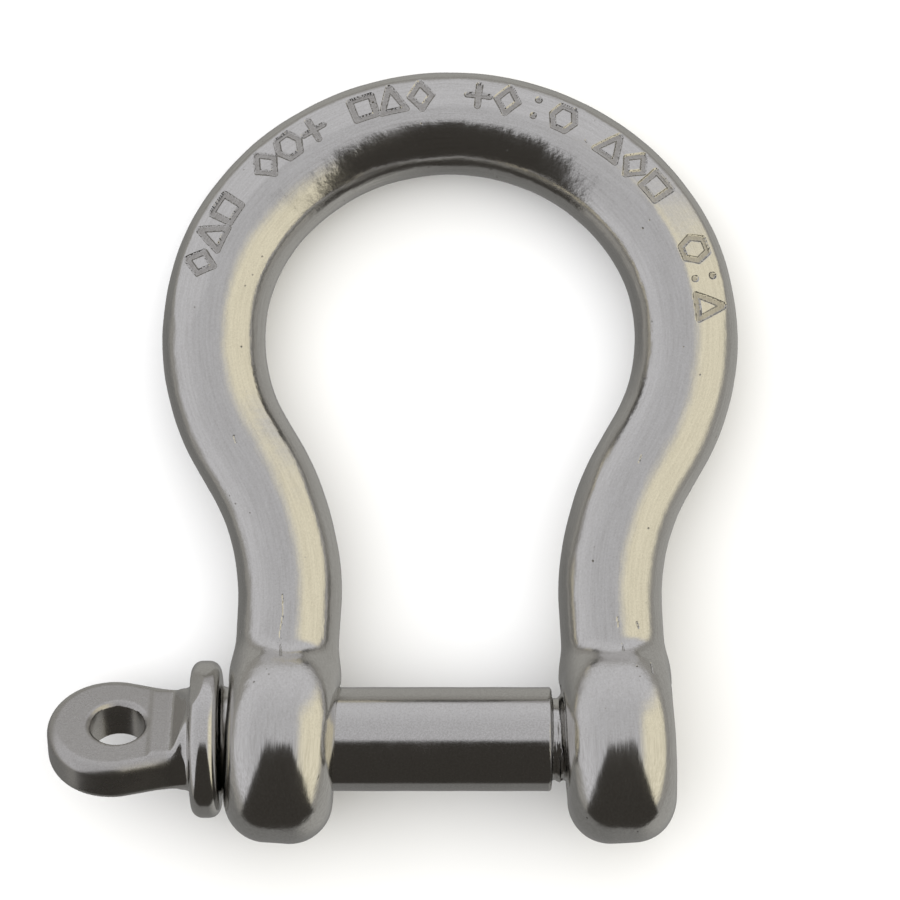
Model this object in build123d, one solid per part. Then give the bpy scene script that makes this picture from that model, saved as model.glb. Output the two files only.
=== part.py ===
from build123d import *
from math import asin, cos, degrees, radians, sin, tan
import os

# A quarter-inch screw-pin bow shackle, lying on a table. Millimetres. The pin's axis is the X axis and
# the middle of the jaw is the origin. The crown of the bow is on the +Y side, the pin's eye on the -X
# side, and the table is below, square to Z.

# the bar and its centreline, from a lug up to the crown
BAR_RADIUS = 3.175
WAIST_HALF_WIDTH = 9.83     # from the middle of the shackle to the centreline at its narrowest
WAIST_HEIGHT = 8.9
LEG_LEAN = 3.2              # degrees that each leg and its lug lean outward going down
WAIST_BEND_RADIUS = 15.3
FLARE = 29.8                # degrees that the bar opens outward above the waist
FLARE_LENGTH = 2.1
SHOULDER_RADIUS = 12.7
SHOULDER_TURN = 77.2        # degrees that the shoulder bends back inward
CROWN_HALF_TURN = 90 + FLARE - SHOULDER_TURN

# the lugs at the ends of the bar
LUG_RADIUS = 6.36
LUG_THICKNESS = 6.6
LUG_ROUNDING = 2.6
LUG_NECK_FILLET = 0.8
CLEAR_BORE_RADIUS = 3.26
TAPPED_BORE_RADIUS = 3.05
BORE_CHAMFER = 0.2

# the thread between the pin and the lug on the +X side
THREAD_PITCH = 1.0
THREAD_ROOT_RADIUS = 2.5
THREAD_CREST_RADIUS = 2.96
THREAD_HALF_WIDTH = 0.42
THREAD_CREST_HALF_WIDTH = 0.06
THREAD_START = 6.7
THREAD_LENGTH = 6.0
GROOVE_DEPTH = 0.35
GROOVE_LENGTH = 9.0

# the pin from its collar to its threaded end
SHANK_RADIUS = 3.175
SHANK_END = 6.2
SHANK_CHAMFER = 0.2
PIN_END = 13.2
PIN_END_CHAMFER = 0.4
COLLAR_RADIUS = 4.8
COLLAR_FROM = -15.8
COLLAR_TO = -14.0
COLLAR_ROUNDING = 0.7
COLLAR_ROOT_FILLET = 0.3

# the flattened eye on the pin's head
NECK_RADIUS = 3.1
NECK_FROM = -18.2
EYE_CENTRE = -20.65
EYE_RADIUS = 3.98
EYE_THICKNESS = 2.8
EYE_ROUNDING = 0.7
EYE_TURN = 49               # degrees that the eye is turned from facing up, towards the crown
FLATS_END = -17.0
RAMP_END = -15.95
HOLE_CENTRE = -20.3
HOLE_RADIUS = 1.665
HOLE_CHAMFER = 0.22


def along_x(radius, x_from, x_to):
    """A round bar on the X axis."""
    middle = (x_from + x_to) / 2
    return Pos(middle, 0, 0) * Rot(0, 90, 0) * Cylinder(radius, x_to - x_from)


def half_centreline():
    """The bar's centreline on the +X side: leg, waist, flare, shoulder and half the crown."""
    bend_centre_x = WAIST_HALF_WIDTH + WAIST_BEND_RADIUS
    leg_top_x = bend_centre_x - WAIST_BEND_RADIUS * cos(radians(LEG_LEAN))
    leg_top_y = WAIST_HEIGHT - WAIST_BEND_RADIUS * sin(radians(LEG_LEAN))
    foot_x = leg_top_x + leg_top_y * tan(radians(LEG_LEAN))
    leg = Line((foot_x, 0), (leg_top_x, leg_top_y))
    waist = JernArc(leg @ 1, leg % 1, WAIST_BEND_RADIUS, -(LEG_LEAN + FLARE))
    flare = Line(waist @ 1, (waist @ 1) + (waist % 1) * FLARE_LENGTH)
    shoulder = JernArc(flare @ 1, flare % 1, SHOULDER_RADIUS, SHOULDER_TURN)
    crown_radius = (shoulder @ 1).X / sin(radians(CROWN_HALF_TURN))
    crown = JernArc(shoulder @ 1, shoulder % 1, crown_radius, CROWN_HALF_TURN)
    return foot_x, [piece.edge() for piece in (leg, waist, flare, shoulder, crown)]


def lug(centre_x):
    """A round boss with a heavily rounded rim, square to the leaning leg."""
    lean = LEG_LEAN if centre_x > 0 else -LEG_LEAN
    disc = Cylinder(LUG_RADIUS, LUG_THICKNESS)
    disc = fillet(disc.edges().filter_by(GeomType.CIRCLE), LUG_ROUNDING)
    return Pos(centre_x, 0, 0) * Rot(0, 0, lean) * Rot(0, 90, 0) * disc


def thread_ridge(x_from, length, root_radius, crest_radius):
    """A V-shaped helical ridge around the X axis, sunk a little below its root radius."""
    sunk_radius = root_radius - 0.1
    profile = Polyline(
        (sunk_radius, -THREAD_HALF_WIDTH),
        (crest_radius, -THREAD_CREST_HALF_WIDTH),
        (crest_radius, THREAD_CREST_HALF_WIDTH),
        (sunk_radius, THREAD_HALF_WIDTH),
        close=True,
    )
    helix = Helix(THREAD_PITCH, length, root_radius)
    ridge = sweep(Plane.XZ * make_face(profile), path=helix, is_frenet=True)
    return Pos(x_from, 0, 0) * Rot(0, 90, 0) * ridge


def bow():
    """The bent bar with its two lugs, the -X one bored clear and the +X one tapped."""
    foot_x, right_side = half_centreline()
    left_side = [edge.mirror(Plane.YZ) for edge in right_side]
    centreline = Wire(right_side + left_side[::-1])
    start = Plane(origin=centreline @ 0, z_dir=centreline % 0)
    body = sweep(start * Circle(BAR_RADIUS), path=centreline)
    body += lug(foot_x)
    body += lug(-foot_x)

    # the crease around each leg where it runs into its lug
    necks = [edge for edge in body.edges() if LUG_RADIUS / 2 < edge.center().Y < 7]
    body = fillet(necks, LUG_NECK_FILLET)

    body -= along_x(CLEAR_BORE_RADIUS, -20, 0)
    body -= along_x(TAPPED_BORE_RADIUS, 0, 20)
    # the bores meet the leaning faces of the lugs in ellipses
    body = chamfer(body.edges().filter_by(GeomType.ELLIPSE), BORE_CHAMFER)
    groove_start = foot_x - GROOVE_LENGTH / 2
    groove_crest = TAPPED_BORE_RADIUS + GROOVE_DEPTH
    body -= thread_ridge(groove_start, GROOVE_LENGTH, TAPPED_BORE_RADIUS, groove_crest)

    # the lugs are thicker than the bar, so the bow lies with its crown lower than its lugs
    crown_distance = (right_side[-1] @ 1).Y
    tilt = degrees(asin((LUG_RADIUS - BAR_RADIUS) / crown_distance))
    return Rot(-tilt, 0, 0) * body


def eye():
    """The flattened end of the pin with its hole, facing +Z before it is turned."""
    rim = Pos(EYE_CENTRE, 0) * CenterArc((0, 0), EYE_RADIUS, 0, 360)
    shoulder = Line((FLATS_END, -NECK_RADIUS), (FLATS_END, NECK_RADIUS))
    outline = make_hull([rim.edge(), shoulder.edge()])
    plate = extrude(outline, EYE_THICKNESS / 2, both=True)
    long_edges = [
        edge
        for edge in plate.edges()
        if abs(edge.center().Z) > 0.1 and edge.center().X < FLATS_END - 0.1
    ]
    plate = fillet(long_edges, EYE_ROUNDING)

    # the neck is ground flat on two sides, with a ramp up to the collar
    neck = along_x(NECK_RADIUS, NECK_FROM, COLLAR_FROM + 0.5)
    half = EYE_THICKNESS / 2
    cut = Polyline(
        (NECK_FROM - 1, half),
        (FLATS_END, half),
        (RAMP_END, NECK_RADIUS),
        (RAMP_END, NECK_RADIUS + 1),
        (NECK_FROM - 1, NECK_RADIUS + 1),
        close=True,
    )
    upper_cut = extrude(Plane.XZ * make_face(cut), 5, both=True)
    neck -= upper_cut
    neck -= mirror(upper_cut, Plane.XY)

    hole = Cylinder(HOLE_RADIUS, EYE_THICKNESS * 2)
    countersink_height = HOLE_CHAMFER * 2
    countersink = Cone(HOLE_RADIUS - HOLE_CHAMFER, HOLE_RADIUS + HOLE_CHAMFER, countersink_height)
    hole += Pos(0, 0, half) * countersink
    hole += Pos(0, 0, -half) * Rot(180, 0, 0) * countersink
    return plate + neck - Pos(HOLE_CENTRE, 0, 0) * hole


def screw_pin():
    """The eye, the collar, the plain shank and the threaded end, in one piece."""
    collar = along_x(COLLAR_RADIUS, COLLAR_FROM, COLLAR_TO)
    collar = fillet(collar.edges().filter_by(GeomType.CIRCLE), COLLAR_ROUNDING)
    shank = along_x(SHANK_RADIUS, COLLAR_FROM + 0.5, SHANK_END)
    shank = chamfer(shank.edges().filter_by(GeomType.CIRCLE).sort_by(Axis.X)[-1], SHANK_CHAMFER)
    pin = collar + shank
    root = pin.edges().filter_by(lambda edge: abs(edge.center().X - COLLAR_TO) < 0.01)
    pin = fillet(root.filter_by(lambda edge: edge.radius < COLLAR_RADIUS - 1), COLLAR_ROOT_FILLET)

    core = along_x(THREAD_ROOT_RADIUS, SHANK_END - 0.5, PIN_END)
    core = chamfer(core.edges().filter_by(GeomType.CIRCLE).sort_by(Axis.X)[-1], PIN_END_CHAMFER)
    pin += core
    pin += thread_ridge(THREAD_START, THREAD_LENGTH, THREAD_ROOT_RADIUS, THREAD_CREST_RADIUS)
    return pin + Rot(-EYE_TURN, 0, 0) * eye()


os.makedirs("parts", exist_ok=True)
for name, make in (("bow", bow), ("screw_pin", screw_pin)):
    export_step(make(), f"parts/{name}.step")
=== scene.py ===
from math import asin, cos, hypot, pi, radians, sin, tan

import bmesh
import bpy
import numpy as np
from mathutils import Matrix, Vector


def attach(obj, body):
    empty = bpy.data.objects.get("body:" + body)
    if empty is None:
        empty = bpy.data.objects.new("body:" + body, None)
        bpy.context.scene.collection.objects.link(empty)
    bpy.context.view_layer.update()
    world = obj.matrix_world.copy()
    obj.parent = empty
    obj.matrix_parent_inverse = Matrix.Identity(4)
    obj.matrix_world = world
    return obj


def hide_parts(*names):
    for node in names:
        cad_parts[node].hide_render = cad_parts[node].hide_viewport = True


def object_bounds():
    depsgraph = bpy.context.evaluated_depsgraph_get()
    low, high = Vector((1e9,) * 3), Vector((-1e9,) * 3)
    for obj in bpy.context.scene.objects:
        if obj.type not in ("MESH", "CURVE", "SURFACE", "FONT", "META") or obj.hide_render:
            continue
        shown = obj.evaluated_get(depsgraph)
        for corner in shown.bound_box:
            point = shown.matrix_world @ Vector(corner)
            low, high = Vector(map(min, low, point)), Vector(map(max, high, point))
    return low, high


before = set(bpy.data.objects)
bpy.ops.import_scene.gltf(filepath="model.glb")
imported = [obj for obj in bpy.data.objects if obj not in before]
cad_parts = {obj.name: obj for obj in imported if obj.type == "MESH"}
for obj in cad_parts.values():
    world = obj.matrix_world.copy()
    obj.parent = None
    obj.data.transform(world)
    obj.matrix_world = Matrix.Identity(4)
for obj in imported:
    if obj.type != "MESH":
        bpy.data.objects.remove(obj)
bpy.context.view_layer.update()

# A quarter-inch bow shackle lying on a pale table. The shapes below are worked out in millimetres.
# The pin's axis is X and the crown is on the +Y side. Each piece starts as a remeshed copy of its CAD
# node, and its points are then drawn onto an exact formula for the finished surface.
MM = 0.001

# the bar and its centreline, from a lug up to the crown
BAR_RADIUS = 3.175
WAIST_HALF_WIDTH = 9.83
WAIST_HEIGHT = 8.9
LEG_LEAN = radians(3.2)
WAIST_BEND_RADIUS = 15.3
FLARE = radians(29.8)
FLARE_LENGTH = 2.1
SHOULDER_RADIUS = 12.7
SHOULDER_TURN = radians(77.2)
CROWN_HALF_TURN = pi / 2 + FLARE - SHOULDER_TURN

# the lugs
LUG_RADIUS = 6.36
LUG_HALF_THICKNESS = 3.3
LUG_ROUNDING = 2.6
NECK_BLEND = 0.75
CLEAR_BORE_RADIUS = 3.26
TAPPED_BORE_RADIUS = 3.05
BORE_EDGE_BLEND = 0.3

# the flat that the marks are stamped on, along the outer front of the crown
STAMP_FLAT_TURN = radians(33)
STAMP_FLAT_DEPTH = 0.2
STAMP_FLAT_REACH = 27.0
STAMP_FLAT_FADE = 8.0

# the thread
THREAD_PITCH = 1.0
THREAD_ROOT_RADIUS = 2.5
THREAD_CREST_RADIUS = 2.96
THREAD_CREST_HALF = 0.07
THREAD_ROOT_HALF = 0.43
PIN_THREAD_START = 6.7
TAPPED_THREAD_LENGTH = 9.0
GROOVE_DEPTH = 0.35

# the pin
SHANK_RADIUS = 3.175
SHANK_START = -15.5
SHANK_END = 6.2
PIN_END = 13.2
PIN_END_CHAMFER = 0.4
COLLAR_CENTRE = -14.9
COLLAR_HALF_THICKNESS = 0.9
COLLAR_RADIUS = 4.8
COLLAR_ROUNDING = 0.7
NECK_RADIUS = 3.1
NECK_START = -18.2
EYE_CENTRE = -20.65
EYE_RADIUS = 3.98
EYE_HALF_THICKNESS = 1.4
EYE_ROUNDING = 0.7
EYE_TURN = radians(49)
FLATS_END = -17.0
RAMP_END = -15.95
HOLE_CENTRE = -20.3
HOLE_RADIUS = 1.665
HOLE_CHAMFER = 0.22

# the remeshed faces, and how far round a mark's strokes the bow's faces are halved, each time once
BOW_VOXEL = 0.27
PIN_VOXEL = 0.13
FINER_REACHES = (0.5, 0.34)


# ---- distance formulas: negative inside a shape, zero on its surface ----

def smooth_union(first, second, blend):
    mix = np.clip(blend - np.abs(first - second), 0, None) / blend
    return np.minimum(first, second) - mix * mix * blend / 4


def smooth_cut(body, hole, blend):
    """body with hole taken out, the edge between them rounded."""
    return -smooth_union(-body, hole, blend)


def rounded_box(across, along, half_across, half_along, rounding):
    """A rectangle with rounded corners, or a disc when across is a distance from its axis."""
    out_across = across - (half_across - rounding)
    out_along = np.abs(along) - (half_along - rounding)
    outside = np.hypot(np.maximum(out_across, 0), np.maximum(out_along, 0))
    return outside + np.minimum(np.maximum(out_across, out_along), 0) - rounding


def smooth_step(value, low, high):
    t = np.clip((value - low) / (high - low), 0, 1)
    return t * t * (3 - 2 * t)


def thread_offset(x, y, z, start):
    """Distance along X from the middle of the helical ridge or groove that begins at start."""
    turn = np.arctan2(y, -z) / (2 * pi)
    phase = np.mod((x - start) / THREAD_PITCH - turn, 1)
    return np.minimum(phase, 1 - phase) * THREAD_PITCH


def thread_height(offset):
    """1 on the crest of the thread's V profile and 0 in its root."""
    return 1 - np.clip((offset - THREAD_CREST_HALF) / (THREAD_ROOT_HALF - THREAD_CREST_HALF), 0, 1)


# ---- the bow's centreline ----

def centreline_spans():
    """The runs and arcs of the +X side from the lug's centre to the crown, and their whole length."""
    bend_centre_x = WAIST_HALF_WIDTH + WAIST_BEND_RADIUS
    leg_top_x = bend_centre_x - WAIST_BEND_RADIUS * cos(LEG_LEAN)
    leg_top_y = WAIST_HEIGHT - WAIST_BEND_RADIUS * sin(LEG_LEAN)
    point = np.array([leg_top_x + leg_top_y * tan(LEG_LEAN), 0.0])
    heading = pi / 2 + LEG_LEAN
    moves = [
        (leg_top_y / cos(LEG_LEAN), 0),
        (WAIST_BEND_RADIUS, -(LEG_LEAN + FLARE)),
        (FLARE_LENGTH, 0),
        (SHOULDER_RADIUS, SHOULDER_TURN),
        (None, CROWN_HALF_TURN),
    ]
    spans = []
    travelled = 0.0
    for size, turn in moves:
        if size is None:
            size = point[0] / sin(turn)
        ahead = np.array([cos(heading), sin(heading)])
        left = np.array([-ahead[1], ahead[0]])
        length = abs(turn) * size if turn else size
        spans.append((point, ahead, left, size, turn, travelled, length))
        if turn:
            centre = point + left * size * np.sign(turn)
            heading += turn
            point = centre - np.array([-sin(heading), cos(heading)]) * size * np.sign(turn)
        else:
            point = point + ahead * size
        travelled += length
    return spans, travelled


SPANS, HALF_LENGTH = centreline_spans()
FOOT_X = SPANS[0][0][0]
CROWN_DISTANCE = float(SPANS[4][0][1] + SPANS[4][3] * (1 - cos(CROWN_HALF_TURN)))
REST_TILT = asin((LUG_RADIUS - BAR_RADIUS) / CROWN_DISTANCE)


def unbend(x, y):
    """Places relative to the centreline: along it from the crown, outward from it, distance from it."""
    side = np.where(x < 0, -1.0, 1.0)
    best = np.full(x.shape, 1e9)
    along = np.zeros(x.shape)
    outward = np.zeros(x.shape)
    for start, ahead, left, size, turn, travelled, length in SPANS:
        from_x = np.abs(x) - start[0]
        from_y = y - start[1]
        forward = from_x * ahead[0] + from_y * ahead[1]
        leftward = from_x * left[0] + from_y * left[1]
        if turn:
            bend = np.sign(turn)
            to_centre = size - leftward * bend
            gone = np.clip(np.arctan2(forward, to_centre), 0, abs(turn))
            near_forward = np.sin(gone) * size
            near_leftward = (1 - np.cos(gone)) * size * bend
            here = travelled + gone * size
            out = (np.hypot(forward, to_centre) - size) * bend
        else:
            near_forward = np.clip(forward, 0, length)
            near_leftward = 0.0
            here = travelled + near_forward
            out = -leftward
        distance = np.hypot(forward - near_forward, leftward - near_leftward)
        nearer = distance < best
        best = np.where(nearer, distance, best)
        along = np.where(nearer, here, along)
        outward = np.where(nearer, out, outward)
    return side * (HALF_LENGTH - along), outward, best


def to_bow_frame(points):
    """Points of the lying bow, turned so that its centreline is in the plane z = 0."""
    x, y, z = points.T
    return x, y * cos(REST_TILT) - z * sin(REST_TILT), y * sin(REST_TILT) + z * cos(REST_TILT)


# ---- the stamped marks: plain geometric shapes in groups, with no letters or numbers ----

MARK_HEIGHT = 1.8
MARK_PITCH = 1.66
MARK_STROKE = 0.13
MARK_EDGE = 0.08
MARK_DEPTH = 0.14
MARK_MIDDLE = 1.4


def outline(corners):
    """The closed strokes through the given corners, in mark heights."""
    return list(zip(corners, corners[1:] + corners[:1]))


DIAMOND = outline([(0, -0.5), (0.34, 0), (0, 0.5), (-0.34, 0)])
TRIANGLE = outline([(-0.4, -0.42), (0.4, -0.42), (0, 0.5)])
SQUARE = outline([(-0.34, -0.38), (0.34, -0.38), (0.34, 0.38), (-0.34, 0.38)])
HEXAGON = outline([(-0.2, -0.42), (0.2, -0.42), (0.38, 0), (0.2, 0.42), (-0.2, 0.42), (-0.38, 0)])
CROSS = [((-0.34, 0), (0.34, 0)), ((0, -0.4), (0, 0.4))]
DOTS = [((0, -0.34), (0, -0.3)), ((0, 0.3), (0, 0.34))]
MARK_GROUPS = [
    (-16.3, [DIAMOND, TRIANGLE, SQUARE]),
    (-9.7, [DIAMOND, HEXAGON, CROSS]),
    (-3.3, [SQUARE, TRIANGLE, DIAMOND]),
    (4.1, [CROSS, DIAMOND, DOTS, HEXAGON]),
    (11.4, [TRIANGLE, DIAMOND, SQUARE]),
    (18.8, [HEXAGON, DOTS, TRIANGLE]),
]

# small scars left by forging, as strokes along and outward from the centreline. A stroke half-width
# below zero leaves only the groove's sloping sides.
SCAR_STROKE = -0.02
SCARS = [
    ((-38.9, 0.3), (-40.1, 0.22)),
    ((-40.1, 0.22), (-41.2, 0.34)),
    ((-41.2, 0.34), (-42.6, 0.2)),
    ((40.3, 0.25), (40.9, 0.33)),
    ((41.9, 0.45), (42.3, 0.5)),
    ((40.6, 1.4), (40.95, 1.5)),
    ((43.2, 2.05), (43.8, 2.1)),
    ((8.3, 0.75), (8.42, 0.7)),
    ((6.9, 2.35), (7.0, 2.38)),
    ((-28.5, 0.2), (-28.9, 0.3)),
    ((30.2, -0.5), (30.7, -0.42)),
]


def mark_lines():
    """Every stroke of every mark, as end points along and outward from the centreline."""
    lines = []
    for middle, shapes in MARK_GROUPS:
        for place, shape in enumerate(shapes):
            centre = middle + (place - (len(shapes) - 1) / 2) * MARK_PITCH
            for first, last in shape:
                start = (centre + first[0] * MARK_HEIGHT, MARK_MIDDLE + first[1] * MARK_HEIGHT)
                end = (centre + last[0] * MARK_HEIGHT, MARK_MIDDLE + last[1] * MARK_HEIGHT)
                lines.append((start, end))
    return lines


def mark_distance(along, outward):
    """Distance to the nearest stroke of a mark, or of a scar, which is a thinner stroke."""
    nearest = np.full(along.shape, 9.0)
    strokes = [(start, end, 0.0) for start, end in mark_lines()]
    strokes += [(start, end, MARK_STROKE - SCAR_STROKE) for start, end in SCARS]
    for start, end, thinner in strokes:
        close = np.abs(along - (start[0] + end[0]) / 2) < 2
        if not close.any():
            continue
        step = (end[0] - start[0], end[1] - start[1])
        from_along = along[close] - start[0]
        from_outward = outward[close] - start[1]
        t = (from_along * step[0] + from_outward * step[1]) / (step[0] ** 2 + step[1] ** 2)
        t = np.clip(t, 0, 1)
        distance = np.hypot(from_along - t * step[0], from_outward - t * step[1]) + thinner
        nearest[close] = np.minimum(nearest[close], distance)
    return nearest


# ---- the two pieces as formulas ----

def forging_waviness(x, y, z):
    """Slow unevenness left by forging and polishing."""
    slow = np.sin(x * 0.71 + 1.3) * np.sin(y * 0.53 + 0.4) + np.sin(y * 0.9 - z * 0.8 + 2.1)
    quick = np.sin(x * 1.9 + z * 1.3) * np.sin(y * 2.3 + 0.7) + np.sin(z * 2.6 + x * 1.1 + y * 0.6)
    return slow * 0.016 + quick * 0.006


def bow_distance(points, with_marks):
    x, y, z = to_bow_frame(points)
    along, outward, distance = unbend(x, y)
    bar = np.hypot(distance, z) - BAR_RADIUS
    flat = outward * sin(STAMP_FLAT_TURN) + z * cos(STAMP_FLAT_TURN) - (BAR_RADIUS - STAMP_FLAT_DEPTH)
    flat = flat - smooth_step(np.abs(along), STAMP_FLAT_REACH - STAMP_FLAT_FADE, STAMP_FLAT_REACH)
    bar = smooth_cut(bar, -flat, 0.12)

    from_foot = np.abs(x) - FOOT_X
    through_lug = from_foot * cos(LEG_LEAN) + y * sin(LEG_LEAN)
    up_lug = y * cos(LEG_LEAN) - from_foot * sin(LEG_LEAN)
    lug = rounded_box(np.hypot(up_lug, z), through_lug, LUG_RADIUS, LUG_HALF_THICKNESS, LUG_ROUNDING)
    body = smooth_union(bar, lug, NECK_BLEND) + forging_waviness(x, y, z)

    world_x, world_y, world_z = points.T
    groove = thread_offset(world_x, world_y, world_z, FOOT_X - TAPPED_THREAD_LENGTH / 2)
    tapped = TAPPED_BORE_RADIUS + GROOVE_DEPTH * thread_height(groove)
    bore_radius = np.where(world_x < 0, CLEAR_BORE_RADIUS, tapped)
    body = smooth_cut(body, np.hypot(world_y, world_z) - bore_radius, BORE_EDGE_BLEND)

    if with_marks:
        depth = 1 - smooth_step(mark_distance(along, outward), MARK_STROKE, MARK_STROKE + MARK_EDGE)
        body = body + MARK_DEPTH * depth * (z > 0)
    return body


def eye_distance(x, across, through):
    """The flattened eye: its outline is two circles joined by straight sides."""
    from_eye = x - EYE_CENTRE
    reach = FLATS_END - EYE_CENTRE
    taper = (EYE_RADIUS - NECK_RADIUS) / reach
    side = np.sqrt(1 - taper * taper)
    width = np.abs(across)
    progress = width * -taper + from_eye * side
    round_end = np.hypot(from_eye, width) - EYE_RADIUS
    neck_end = np.hypot(from_eye - reach, width) - NECK_RADIUS
    straight = width * side + from_eye * taper - EYE_RADIUS
    rim = np.where(progress < 0, round_end, np.where(progress > side * reach, neck_end, straight))
    return rounded_box(rim, through, 0, EYE_HALF_THICKNESS, EYE_ROUNDING)


def pin_distance(points):
    x, y, z = points.T
    radius = np.hypot(y, z)
    shank_middle = (SHANK_START + SHANK_END) / 2
    shank_half = (SHANK_END - SHANK_START) / 2
    shank = rounded_box(radius, x - shank_middle, SHANK_RADIUS, shank_half, 0.18)
    collar = rounded_box(radius, x - COLLAR_CENTRE, COLLAR_RADIUS, COLLAR_HALF_THICKNESS, COLLAR_ROUNDING)
    pin = smooth_union(shank, collar, 0.5)

    height = thread_height(thread_offset(x, y, z, PIN_THREAD_START))
    height = height * smooth_step(x, SHANK_END + 0.2, SHANK_END + 0.7)
    surface = THREAD_ROOT_RADIUS + (THREAD_CREST_RADIUS - THREAD_ROOT_RADIUS) * height
    end_cone = (radius + x - PIN_END - THREAD_CREST_RADIUS + PIN_END_CHAMFER) * 0.707
    threaded = np.maximum(radius - surface, np.maximum(end_cone, x - PIN_END))
    threaded = np.maximum(threaded, SHANK_END - 1 - x)
    pin = smooth_union(pin, threaded, 0.12)

    across = y * cos(EYE_TURN) - z * sin(EYE_TURN)
    through = y * sin(EYE_TURN) + z * cos(EYE_TURN)
    ramp = (NECK_RADIUS - EYE_HALF_THICKNESS) / (RAMP_END - FLATS_END)
    allowed = EYE_HALF_THICKNESS + np.maximum(x - FLATS_END, 0) * ramp
    neck = np.maximum(radius - NECK_RADIUS, np.maximum(NECK_START - x, x - COLLAR_CENTRE))
    neck = smooth_cut(neck, (allowed - np.abs(through)) / hypot(1, ramp), 0.25)
    head = smooth_union(eye_distance(x, across, through), neck, 0.4)
    pin = smooth_union(pin, head, 0.5)

    countersink = np.maximum(np.abs(through) - (EYE_HALF_THICKNESS - HOLE_CHAMFER), 0)
    hole = np.hypot(x - HOLE_CENTRE, across) - HOLE_RADIUS - countersink
    pin = smooth_cut(pin, hole * 0.8, 0.08)
    return pin + 0.004 * (np.sin(x * 1.7) + np.sin(y * 1.9 + z * 1.1))


# ---- meshes drawn onto the formulas ----

def slopes(points, distance):
    """The formula's gradient at each point, by small steps each way."""
    step = 0.01
    columns = []
    for axis in np.eye(3) * step:
        columns.append((distance(points + axis) - distance(points - axis)) / (2 * step))
    return np.stack(columns, axis=1)


def draw_onto(points, distance, rounds, most):
    """Moves each point along the gradient until it is on the surface."""
    for _ in range(rounds):
        gradient = slopes(points, distance)
        move = distance(points) / np.maximum((gradient ** 2).sum(axis=1), 0.2)
        points = points - gradient * np.clip(move, -most, most)[:, None]
    return points


def even_out(points, edges, distance, rounds):
    """Spreads the points evenly along the surface."""
    counts = np.zeros(len(points))
    np.add.at(counts, edges.ravel(), 1)
    for _ in range(rounds):
        total = np.zeros_like(points)
        np.add.at(total, edges[:, 0], points[edges[:, 1]])
        np.add.at(total, edges[:, 1], points[edges[:, 0]])
        pull = total / counts[:, None] - points
        normal = slopes(points, distance)
        normal /= np.linalg.norm(normal, axis=1)[:, None]
        pull -= normal * (pull * normal).sum(axis=1)[:, None]
        points = draw_onto(points + pull * 0.5, distance, 2, 0.1)
    return points


def read_points(mesh):
    flat = np.zeros(len(mesh.vertices) * 3)
    mesh.vertices.foreach_get("co", flat)
    return flat.reshape(-1, 3) / MM


def write_points(mesh, points):
    mesh.vertices.foreach_set("co", (points * MM).ravel())
    mesh.update()


def remeshed_copy(cad_node, name, voxel):
    """A new object with the CAD node's shape in small even faces."""
    piece = bpy.data.objects.new(name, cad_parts[cad_node].data.copy())
    bpy.context.scene.collection.objects.link(piece)
    remesh = piece.modifiers.new("even_faces", "REMESH")
    remesh.mode = "VOXEL"
    remesh.voxel_size = voxel * MM
    shape = bpy.data.meshes.new_from_object(piece.evaluated_get(bpy.context.evaluated_depsgraph_get()))
    piece.modifiers.clear()
    piece.data = shape
    shape.materials.clear()
    return piece


def settle(piece, distance):
    """Draws the remeshed piece onto its formula."""
    mesh = piece.data
    edges = np.zeros(len(mesh.edges) * 2, int)
    mesh.edges.foreach_get("vertices", edges)
    points = draw_onto(read_points(mesh), distance, 4, 0.2)
    points = even_out(points, edges.reshape(-1, 2), distance, 6)
    write_points(mesh, draw_onto(points, distance, 3, 0.1))


def subdivide_near_marks(piece):
    """Cuts the faces under the marks finely enough to hold their edges."""
    shape = bmesh.new()
    shape.from_mesh(piece.data)
    for reach in FINER_REACHES:
        shape.verts.ensure_lookup_table()
        points = np.array([vertex.co for vertex in shape.verts]) / MM
        x, y, z = to_bow_frame(points)
        along, outward, _ = unbend(x, y)
        near = (mark_distance(along, outward) < reach) & (z > 0.3)
        chosen = [edge for edge in shape.edges if near[edge.verts[0].index] or near[edge.verts[1].index]]
        bmesh.ops.subdivide_edges(shape, edges=chosen, cuts=1, use_grid_fill=True)
        wide = [face for face in shape.faces if len(face.verts) > 4]
        bmesh.ops.triangulate(shape, faces=wide)
    shape.to_mesh(piece.data)
    shape.free()


def finish_surface(piece, distance):
    """Smooth shading from the formula's own slopes."""
    mesh = piece.data
    normals = slopes(read_points(mesh), distance)
    normals /= np.linalg.norm(normals, axis=1)[:, None]
    mesh.polygons.foreach_set("use_smooth", [True] * len(mesh.polygons))
    mesh.normals_split_custom_set_from_vertices(normals)


def store_unbent(piece):
    """Keeps each point's place in the straightened bar, and how deep it is in a mark or scar, for the
    material, which roughens the marks and darkens their colour as painted shade in the recesses.
    """
    points = read_points(piece.data)
    x, y, z = to_bow_frame(points)
    along, outward, _ = unbend(x, y)
    place = piece.data.attributes.new("unbent", "FLOAT_VECTOR", "POINT")
    place.data.foreach_set("vector", np.stack([along, outward, z], axis=1).ravel())
    # how deep a point is in a mark or scar; the material uses this for roughness and for painted shade in
    # the recess
    cut = 1 - smooth_step(mark_distance(along, outward), MARK_STROKE * 0.6, MARK_STROKE + MARK_EDGE)
    stamped = piece.data.attributes.new("stamped", "FLOAT", "POINT")
    stamped.data.foreach_set("value", cut * (z > 0))


def make_bow():
    piece = remeshed_copy("bow", "forged_bow", BOW_VOXEL)
    settle(piece, lambda points: bow_distance(points, False))
    subdivide_near_marks(piece)
    marked = lambda points: bow_distance(points, True)
    write_points(piece.data, draw_onto(read_points(piece.data), marked, 5, 0.08))
    finish_surface(piece, marked)
    store_unbent(piece)
    return piece


def make_pin():
    piece = remeshed_copy("screw_pin", "turned_pin", PIN_VOXEL)
    settle(piece, pin_distance)
    finish_surface(piece, pin_distance)
    return piece


# ---- materials ----

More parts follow.
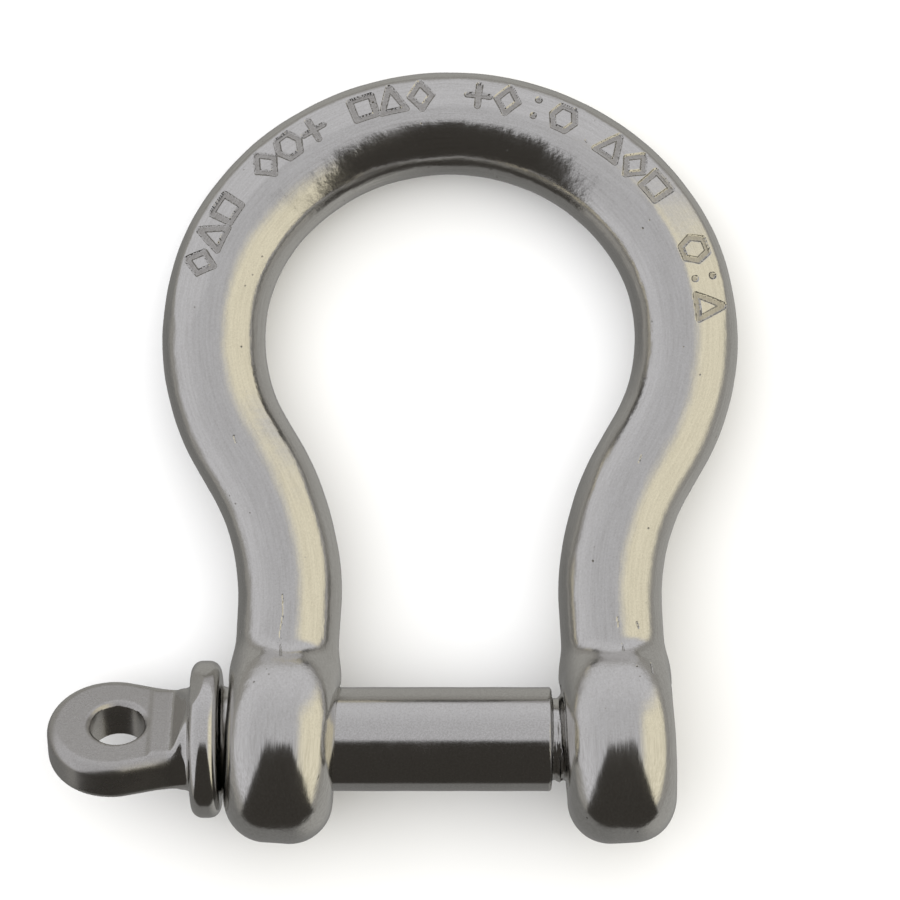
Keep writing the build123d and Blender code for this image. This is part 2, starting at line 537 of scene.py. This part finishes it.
def node(tree, kind, **settings):
    """A new shader node, with its properties and, by socket name, its input values set."""
    made = tree.nodes.new(kind)
    for key, value in settings.items():
        if hasattr(made, key):
            setattr(made, key, value)
        else:
            made.inputs[key.replace("_", " ").capitalize()].default_value = value
    return made


def stretched(tree, source, scale):
    """Texture places from a vector socket, scaled along each axis."""
    mapping = tree.nodes.new("ShaderNodeMapping")
    mapping.inputs["Scale"].default_value = scale
    tree.links.new(source, mapping.inputs["Vector"])
    return mapping.outputs["Vector"]


def noise(tree, places, scale, detail, roughness=0.5):
    texture = node(tree, "ShaderNodeTexNoise", scale=scale, detail=detail, roughness=roughness)
    tree.links.new(places, texture.inputs["Vector"])
    return texture.outputs["Fac"]


def remap(tree, value, low, high, to_low, to_high):
    ranged = tree.nodes.new("ShaderNodeMapRange")
    for socket, number in zip(("From Min", "From Max", "To Min", "To Max"), (low, high, to_low, to_high)):
        ranged.inputs[socket].default_value = number
    tree.links.new(value, ranged.inputs["Value"])
    return ranged.outputs["Result"]


def combine(tree, operation, first, second):
    maths = tree.nodes.new("ShaderNodeMath")
    maths.operation = operation
    for socket, value in zip(maths.inputs, (first, second)):
        if isinstance(value, (int, float)):
            socket.default_value = value
        else:
            tree.links.new(value, socket)
    return maths.outputs["Value"]


def bump(tree, height, depth_mm, under=None):
    """Relief of the given depth, on top of an earlier bump if there is one."""
    relief = tree.nodes.new("ShaderNodeBump")
    relief.inputs["Strength"].default_value = 1.0
    relief.inputs["Distance"].default_value = depth_mm * MM
    tree.links.new(height, relief.inputs["Height"])
    if under is not None:
        tree.links.new(under, relief.inputs["Normal"])
    return relief.outputs["Normal"]


def steel(material, dark, light, tone, roughness, normal):
    """A metal whose colour runs between two steel greys."""
    tree = material.node_tree
    shader = tree.nodes["Principled BSDF"]
    shader.inputs["Metallic"].default_value = 1.0
    ramp = tree.nodes.new("ShaderNodeValToRGB")
    ramp.color_ramp.elements[0].color = (*dark, 1)
    ramp.color_ramp.elements[1].color = (*light, 1)
    tree.links.new(tone, ramp.inputs["Fac"])
    tree.links.new(ramp.outputs["Color"], shader.inputs["Base Color"])
    tree.links.new(roughness, shader.inputs["Roughness"])
    tree.links.new(normal, shader.inputs["Normal"])
    return material


def new_material(name):
    material = bpy.data.materials.new(name)
    material.use_nodes = True
    return material


def bow_material():
    """Tumbled and polished stainless: fine lengthwise scratches, soft orange peel and small pits."""
    material = new_material("polished_bow_steel")
    tree = material.node_tree
    places = node(tree, "ShaderNodeAttribute", attribute_name="unbent").outputs["Vector"]
    scratches = noise(tree, stretched(tree, places, (0.35, 7, 7)), 1.0, 6, 0.62)
    peel = noise(tree, places, 1.5, 3, 0.5)
    grain = noise(tree, places, 9.0, 3, 0.6)
    patches = noise(tree, stretched(tree, places, (0.25, 0.6, 0.6)), 0.8, 4)
    pits = tree.nodes.new("ShaderNodeTexVoronoi")
    pits.inputs["Scale"].default_value = 1.1
    tree.links.new(places, pits.inputs["Vector"])
    pit = remap(tree, pits.outputs["Distance"], 0.035, 0.085, 1, 0)
    few = remap(tree, noise(tree, places, 0.45, 2), 0.52, 0.6, 0, 1)
    pit = combine(tree, "MULTIPLY", pit, few)
    stamped = node(tree, "ShaderNodeAttribute", attribute_name="stamped").outputs["Fac"]

    roughness = remap(tree, patches, 0.3, 0.7, 0.1, 0.17)
    roughness = combine(tree, "ADD", roughness, remap(tree, scratches, 0.35, 0.75, 0, 0.06))
    roughness = combine(tree, "ADD", roughness, combine(tree, "MULTIPLY", stamped, 0.12))
    tone = combine(tree, "SUBTRACT", remap(tree, grain, 0.3, 0.7, 0.82, 1), pit)
    # painted shade: the colour is darkened inside the stamped strokes and scar grooves, where shade falls in
    # the recess
    tone = combine(tree, "SUBTRACT", tone, combine(tree, "MULTIPLY", stamped, 0.4))
    tone = combine(tree, "SUBTRACT", tone, remap(tree, scratches, 0.4, 0.75, 0, 0.16))
    normal = bump(tree, peel, 0.018)
    normal = bump(tree, scratches, 0.003, normal)
    normal = bump(tree, grain, 0.0008, normal)
    normal = bump(tree, combine(tree, "SUBTRACT", 1, pit), 0.04, normal)
    return steel(material, (0.2, 0.18, 0.15), (0.72, 0.71, 0.69), tone, roughness, normal)


def pin_material():
    """Turned and polished stainless, with rings around the pin and ground flats on its eye."""
    material = new_material("turned_pin_steel")
    tree = material.node_tree
    places = stretched(tree, tree.nodes.new("ShaderNodeTexCoord").outputs["Object"], (1000, 1000, 1000))
    split = tree.nodes.new("ShaderNodeSeparateXYZ")
    tree.links.new(places, split.inputs[0])
    rings = noise(tree, stretched(tree, places, (11, 0.25, 0.25)), 1.0, 6, 0.65)
    grain = noise(tree, places, 10.0, 4, 0.6)
    ground = noise(tree, stretched(tree, places, (1.2, 9, 9)), 1.0, 5, 0.6)
    patches = noise(tree, places, 0.5, 3)
    on_eye = remap(tree, split.outputs["X"], FLATS_END + 0.3, FLATS_END - 0.3, 0, 1)

    roughness = remap(tree, patches, 0.3, 0.7, 0.09, 0.16)
    roughness = combine(tree, "ADD", roughness, combine(tree, "MULTIPLY", on_eye, 0.16))
    lines = combine(tree, "MULTIPLY", rings, combine(tree, "SUBTRACT", 1, on_eye))
    lines = combine(tree, "ADD", lines, combine(tree, "MULTIPLY", ground, on_eye))
    tone = remap(tree, grain, 0.3, 0.75, 0.5, 1)
    tone = combine(tree, "SUBTRACT", tone, combine(tree, "MULTIPLY", on_eye, 0.3))
    normal = bump(tree, lines, 0.003)
    normal = bump(tree, grain, 0.002, normal)
    return steel(material, (0.4, 0.385, 0.365), (0.71, 0.7, 0.68), tone, roughness, normal)


def table_material():
    """A matt pale table top with the faintest mottling."""
    material = new_material("pale_table")
    tree = material.node_tree
    shader = tree.nodes["Principled BSDF"]
    places = tree.nodes.new("ShaderNodeTexCoord").outputs["Object"]
    mottle = noise(tree, places, 40.0, 3)
    ramp = tree.nodes.new("ShaderNodeValToRGB")
    ramp.color_ramp.elements[0].color = (0.80, 0.80, 0.80, 1)
    ramp.color_ramp.elements[1].color = (0.84, 0.84, 0.83, 1)
    tree.links.new(mottle, ramp.inputs["Fac"])
    tree.links.new(ramp.outputs["Color"], shader.inputs["Base Color"])
    shader.inputs["Roughness"].default_value = 0.9
    shader.inputs["Specular IOR Level"].default_value = 0.1
    return material


# ---- table, studio and camera ----

TABLE_RADIUS = 3.0
TABLE_CORNERS = 96


def stage_plate(name, corners, material):
    """A flat plate of the studio, which isn't part of the object."""
    mesh = bpy.data.meshes.new(name)
    mesh.from_pydata(corners, [], [tuple(range(len(corners)))])
    mesh.materials.append(material)
    plate = bpy.data.objects.new(name, mesh)
    bpy.context.scene.collection.objects.link(plate)
    return plate


def make_table():
    """The table under the shackle. The steel mirrors the world's own lower half instead of it."""
    lowest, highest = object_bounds()
    middle = (Vector(lowest) + Vector(highest)) / 2
    corners = []
    for index in range(TABLE_CORNERS):
        turn = 2 * pi * index / TABLE_CORNERS
        corners.append((middle.x + TABLE_RADIUS * cos(turn), middle.y + TABLE_RADIUS * sin(turn), lowest[2]))
    table = stage_plate("table", corners, table_material())
    table.visible_glossy = False


def direction_band(tree, value, low, high):
    """0 at low, 1 at high and beyond, smooth between. low may be the larger."""
    band = tree.nodes.new("ShaderNodeMapRange")
    band.interpolation_type = "SMOOTHSTEP"
    band.inputs["From Min"].default_value = low
    band.inputs["From Max"].default_value = high
    tree.links.new(value, band.inputs["Value"])
    return band.outputs["Result"]


# the studio's colours, by the direction that they are seen in
PALE_SKY = (0.69, 0.69, 0.72)
HIGH_SKY = (0.60, 0.60, 0.625)
WARM_SIDE = (0.98, 0.915, 0.72)
LOW_SKY = (0.36, 0.35, 0.33)
DARK_SIDE = (0.05, 0.046, 0.041)
NEAR_FLOOR = (0.22, 0.218, 0.212)
FAR_FLOOR = (0.42, 0.415, 0.395)
BACKDROP = (0.93, 0.93, 0.93)
DARK_SIDE_START = 0.05
DARK_SIDE_NARROWING = 1.15
DARK_SIDE_EDGE = (-0.04, 0.08)

# where each colour fades in, by how far up, right or away the direction points
HIGH_SKY_UP = (0.3, 0.9)
WARM_RIGHT = (0.2, 0.62)
WARM_AWAY = (0.75, 0.4)
LOW_SKY_UP = (0.05, -0.22)
FLOOR_UP = (-0.34, -0.44)
FAR_FLOOR_RIGHT = (0, 0.5)
FAR_FLOOR_AWAY = (0, 0.7)


def layer(tree, under, colour, mask):
    """colour over an earlier colour or layer, where mask is 1."""
    mix = tree.nodes.new("ShaderNodeMix")
    mix.data_type = "RGBA"
    tree.links.new(mask, mix.inputs[0])
    if isinstance(under, tuple):
        mix.inputs[6].default_value = (*under, 1)
    else:
        tree.links.new(under, mix.inputs[6])
    mix.inputs[7].default_value = (*colour, 1)
    return mix.outputs[2]


def make_studio():
    """Colour bands all round: pale above, warm from the right, and dark on the near side."""
    world = bpy.data.worlds.new("studio")
    bpy.context.scene.world = world
    world.use_nodes = True
    tree = world.node_tree
    split = tree.nodes.new("ShaderNodeSeparateXYZ")
    tree.links.new(tree.nodes.new("ShaderNodeTexCoord").outputs["Generated"], split.inputs[0])
    right, away, up = split.outputs

    sky = layer(tree, PALE_SKY, HIGH_SKY, direction_band(tree, up, *HIGH_SKY_UP))
    warm = direction_band(tree, right, *WARM_RIGHT)
    warm = combine(tree, "MULTIPLY", warm, direction_band(tree, away, *WARM_AWAY))
    sky = layer(tree, sky, WARM_SIDE, warm)
    sky = layer(tree, sky, LOW_SKY, direction_band(tree, up, *LOW_SKY_UP))

    sideways = combine(tree, "MULTIPLY", combine(tree, "ABSOLUTE", right, 0), DARK_SIDE_NARROWING)
    near_side = combine(tree, "SUBTRACT", DARK_SIDE_START, combine(tree, "ADD", away, sideways))
    sky = layer(tree, sky, DARK_SIDE, direction_band(tree, near_side, *DARK_SIDE_EDGE))

    below = direction_band(tree, up, *FLOOR_UP)
    far_or_right = direction_band(tree, right, *FAR_FLOOR_RIGHT)
    far_or_right = combine(tree, "MAXIMUM", far_or_right, direction_band(tree, away, *FAR_FLOOR_AWAY))
    sky = layer(tree, sky, NEAR_FLOOR, below)
    sky = layer(tree, sky, FAR_FLOOR, combine(tree, "MULTIPLY", below, far_or_right))
    seen_directly = tree.nodes.new("ShaderNodeLightPath").outputs["Is Camera Ray"]
    sky = layer(tree, sky, BACKDROP, seen_directly)
    tree.links.new(sky, tree.nodes["Background"].inputs["Color"])


LIGHT_PLACE = (-0.12, 0.2, 0.8)
LIGHT_AIM = (0, 0.017, 0)
LIGHT_SIZE = 1.6
LIGHT_POWER = 16.0


def soft_light(name, place, aim, size, power):
    """A square lamp that lights the table and casts soft shadows, but isn't mirrored in the steel."""
    lamp = bpy.data.lights.new(name, "AREA")
    lamp.shape = "SQUARE"
    lamp.size = size
    lamp.energy = power
    holder = bpy.data.objects.new(name, lamp)
    bpy.context.scene.collection.objects.link(holder)
    holder.location = place
    holder.rotation_euler = (Vector(aim) - Vector(place)).to_track_quat("-Z", "Y").to_euler()
    holder.visible_glossy = False


CAMERA_HEIGHT = 0.25
VIEW_WIDTH = 0.0551
VIEW_MIDDLE_Y = 0.0177
SENSOR_MM = 36.0


def make_camera():
    """Straight above the shackle, with the crown at the top of the picture."""
    data = bpy.data.cameras.new("camera")
    data.sensor_width = SENSOR_MM
    data.lens = SENSOR_MM * CAMERA_HEIGHT / VIEW_WIDTH
    data.clip_start = 0.01
    data.clip_end = 20
    camera = bpy.data.objects.new("camera", data)
    bpy.context.scene.collection.objects.link(camera)
    camera.location = (0, VIEW_MIDDLE_Y, CAMERA_HEIGHT)
    bpy.context.scene.camera = camera


make_camera()
bow = make_bow()
bow.data.materials.append(bow_material())
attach(bow, "bow")
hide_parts("bow")

pin = make_pin()
pin.data.materials.append(pin_material())
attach(pin, "screw_pin")
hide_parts("screw_pin")

make_table()
make_studio()
soft_light("key_light", LIGHT_PLACE, LIGHT_AIM, LIGHT_SIZE, LIGHT_POWER)
bpy.context.scene.view_settings.view_transform = "Standard"
